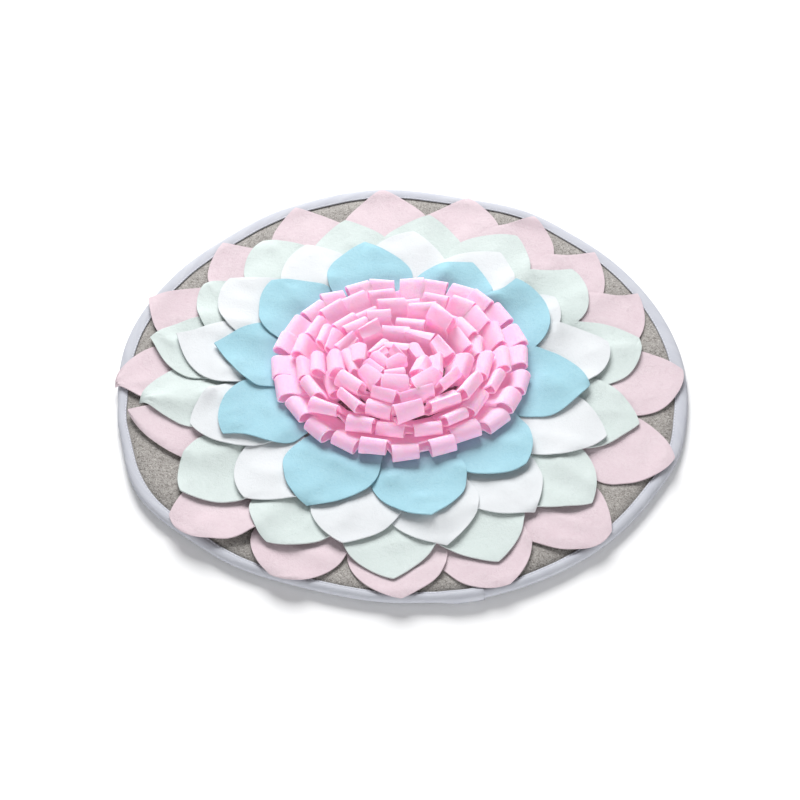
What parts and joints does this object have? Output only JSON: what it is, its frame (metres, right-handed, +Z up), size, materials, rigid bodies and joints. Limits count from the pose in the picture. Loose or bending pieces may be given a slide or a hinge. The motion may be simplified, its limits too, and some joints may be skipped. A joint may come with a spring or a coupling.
{
  "type": "snuffle mat",
  "caption": "Round felt snuffle mat for pets: overlapping fleece petals in four pastel rings around a looped fleece centre, with a bound edge.",
  "frame": {"origin": "on the surface the mat lies on, under the middle of the felt disc", "axes": "+Z up out of the mat's face, +X and +Y in the plane it lies on; the lapped end of the binding is towards -Y"},
  "size_m": [0.4999, 0.5011, 0.0451],
  "materials": {
    "felt": "matt needled felt, grey-brown with fine flecks",
    "binding_tape": "matt woven tape, pale lavender grey",
    "pink_fleece": "matt brushed fleece, pale pink",
    "mint_fleece": "matt brushed fleece, pale mint",
    "white_fleece": "matt brushed fleece, white",
    "blue_fleece": "matt brushed fleece, sky blue",
    "loop_fleece": "matt thick fleece, candy pink"
  },
  "bodies": {
    "root": {"base_mat": "felt", "binding": "binding_tape", "petal_pink_01": "pink_fleece", "petal_pink_02": "pink_fleece", "petal_pink_03": "pink_fleece", "petal_pink_04": "pink_fleece", "petal_pink_05": "pink_fleece", "petal_pink_06": "pink_fleece", "petal_pink_07": "pink_fleece", "petal_pink_08": "pink_fleece", "petal_pink_09": "pink_fleece", "petal_pink_10": "pink_fleece", "petal_pink_11": "pink_fleece", "petal_pink_12": "pink_fleece", "petal_pink_13": "pink_fleece", "petal_pink_14": "pink_fleece", "petal_pink_15": "pink_fleece", "petal_pink_16": "pink_fleece", "petal_pink_17": "pink_fleece", "petal_mint_01": "mint_fleece", "petal_mint_02": "mint_fleece", "petal_mint_03": "mint_fleece", "petal_mint_04": "mint_fleece", "petal_mint_05": "mint_fleece", "petal_mint_06": "mint_fleece", "petal_mint_07": "mint_fleece", "petal_mint_08": "mint_fleece", "petal_mint_09": "mint_fleece", "petal_mint_10": "mint_fleece", "petal_mint_11": "mint_fleece", "petal_mint_12": "mint_fleece", "petal_mint_13": "mint_fleece", "petal_mint_14": "mint_fleece", "petal_mint_15": "mint_fleece", "petal_white_01": "white_fleece", "petal_white_02": "white_fleece", "petal_white_03": "white_fleece", "petal_white_04": "white_fleece", "petal_white_05": "white_fleece", "petal_white_06": "white_fleece", "petal_white_07": "white_fleece", "petal_white_08": "white_fleece", "petal_white_09": "white_fleece", "petal_white_10": "white_fleece", "petal_white_11": "white_fleece", "petal_white_12": "white_fleece", "petal_white_13": "white_fleece", "petal_blue_01": "blue_fleece", "petal_blue_02": "blue_fleece", "petal_blue_03": "blue_fleece", "petal_blue_04": "blue_fleece", "petal_blue_05": "blue_fleece", "petal_blue_06": "blue_fleece", "petal_blue_07": "blue_fleece", "petal_blue_08": "blue_fleece", "petal_blue_09": "blue_fleece", "petal_blue_10": "blue_fleece", "loops_outer": "loop_fleece", "loops_middle": "loop_fleece", "loops_centre": "loop_fleece"}
  },
  "joints": []
}
